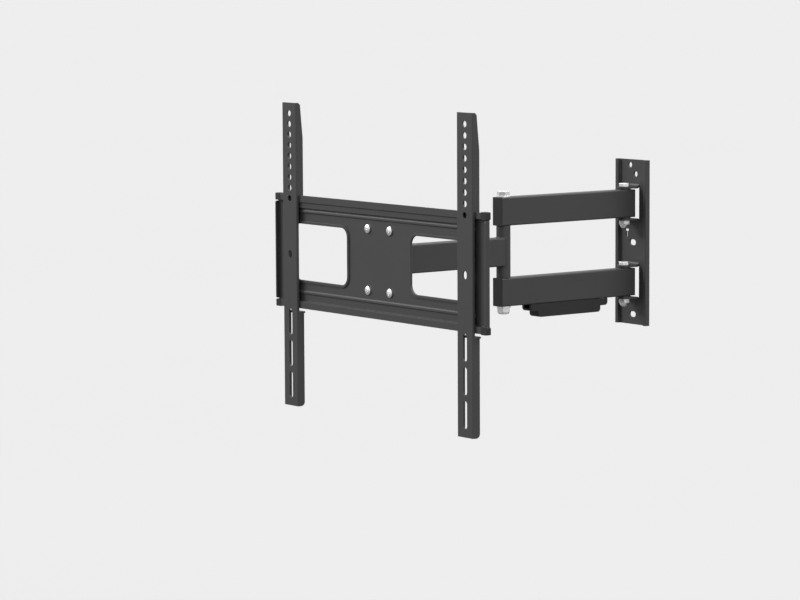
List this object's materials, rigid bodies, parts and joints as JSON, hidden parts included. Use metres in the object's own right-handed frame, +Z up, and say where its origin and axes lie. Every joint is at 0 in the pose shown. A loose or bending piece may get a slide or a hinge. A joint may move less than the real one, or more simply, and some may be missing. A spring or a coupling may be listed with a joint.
{
  "type": "full motion tv wall mount",
  "caption": "Full motion wall mount for a flat TV: wall plate, folding double and single arms, swivel and tilt head, slotted carrier plate and sliding TV brackets.",
  "frame": {"origin": "centre of the wall plate's back face, on the wall, midway between the two first arms", "axes": "+Y into the wall, -Y out from the wall towards the TV, +Z up, +X to the right for a person facing the wall"},
  "size_m": [0.4812, 0.47, 0.43],
  "materials": {
    "black_powder_coat": "fine textured satin powder coat",
    "zinc": "bright zinc plate",
    "black_nylon": "plain moulded nylon",
    "black_plastic": "fine moulded grain",
    "fibre": "pressed friction fibre"
  },
  "bodies": {
    "wall": {"wall_plate": "black_powder_coat", "wall_pivot_bolts": "zinc", "wall_pivot_nuts": "zinc"},
    "first_arms": {"upper_arm": "black_powder_coat", "lower_arm": "black_powder_coat", "wall_pivot_bushes": "black_nylon", "arm_end_plugs": "black_plastic", "elbow_bolt": "zinc", "elbow_washers": "zinc", "elbow_nut": "zinc", "elbow_spacers": "zinc", "cable_cover": "black_plastic"},
    "second_arm": {"elbow_tube": "black_powder_coat", "elbow_bushes": "black_nylon", "second_arm_tube": "black_powder_coat", "head_tube": "black_powder_coat", "head_bushes": "black_nylon"},
    "swivel": {"swivel_yoke": "black_powder_coat", "swivel_bolt": "zinc", "swivel_washers": "zinc", "swivel_nut": "zinc", "tilt_bolts": "zinc", "tilt_washers": "zinc", "tilt_friction_washers": "fibre", "tilt_nuts": "zinc"},
    "carrier": {"tilt_bracket": "black_powder_coat", "plate_screws": "zinc", "plate_nuts": "zinc", "carrier_plate": "black_powder_coat", "end_cap_upper_left": "black_plastic", "end_cap_upper_right": "black_plastic", "end_cap_lower_left": "black_plastic", "end_cap_lower_right": "black_plastic"},
    "left_bracket": {"tv_bracket_left": "black_powder_coat"},
    "right_bracket": {"tv_bracket_right": "black_powder_coat"},
    "left_lock": {"lock_screw_left": "zinc"},
    "right_lock": {"lock_screw_right": "zinc"}
  },
  "joints": [
    {"name": "wall_pivot", "type": "hinge", "parent": "wall", "child": "first_arms", "pos_m": [0, -0.0191, 0], "axis": [0, 0, 1], "range_deg": [-90, 90]},
    {"name": "elbow", "type": "hinge", "parent": "first_arms", "child": "second_arm", "pos_m": [0, -0.2437, 0], "axis": [0, 0, -1], "range_deg": [-135, 135]},
    {"name": "swivel", "type": "hinge", "parent": "second_arm", "child": "swivel", "pos_m": [0, -0.4317, 0], "axis": [0, 0, 1], "range_deg": [-70, 70]},
    {"name": "tilt", "type": "hinge", "parent": "swivel", "child": "carrier", "pos_m": [0, -0.4457, 0], "axis": [1, 0, 0], "range_deg": [-5, 15]},
    {"name": "left_bracket_slide", "type": "slide", "parent": "carrier", "child": "left_bracket", "axis": [1, 0, 0], "range_m": [-0.01, 0.15]},
    {"name": "right_bracket_slide", "type": "slide", "parent": "carrier", "child": "right_bracket", "axis": [-1, 0, 0], "range_m": [-0.01, 0.15]},
    {"name": "left_lock_screw", "type": "slide", "parent": "left_bracket", "child": "left_lock", "axis": [0, 0, -1], "range_m": [0, 0.01]},
    {"name": "right_lock_screw", "type": "slide", "parent": "right_bracket", "child": "right_lock", "axis": [0, 0, -1], "range_m": [0, 0.01]}
  ]
}
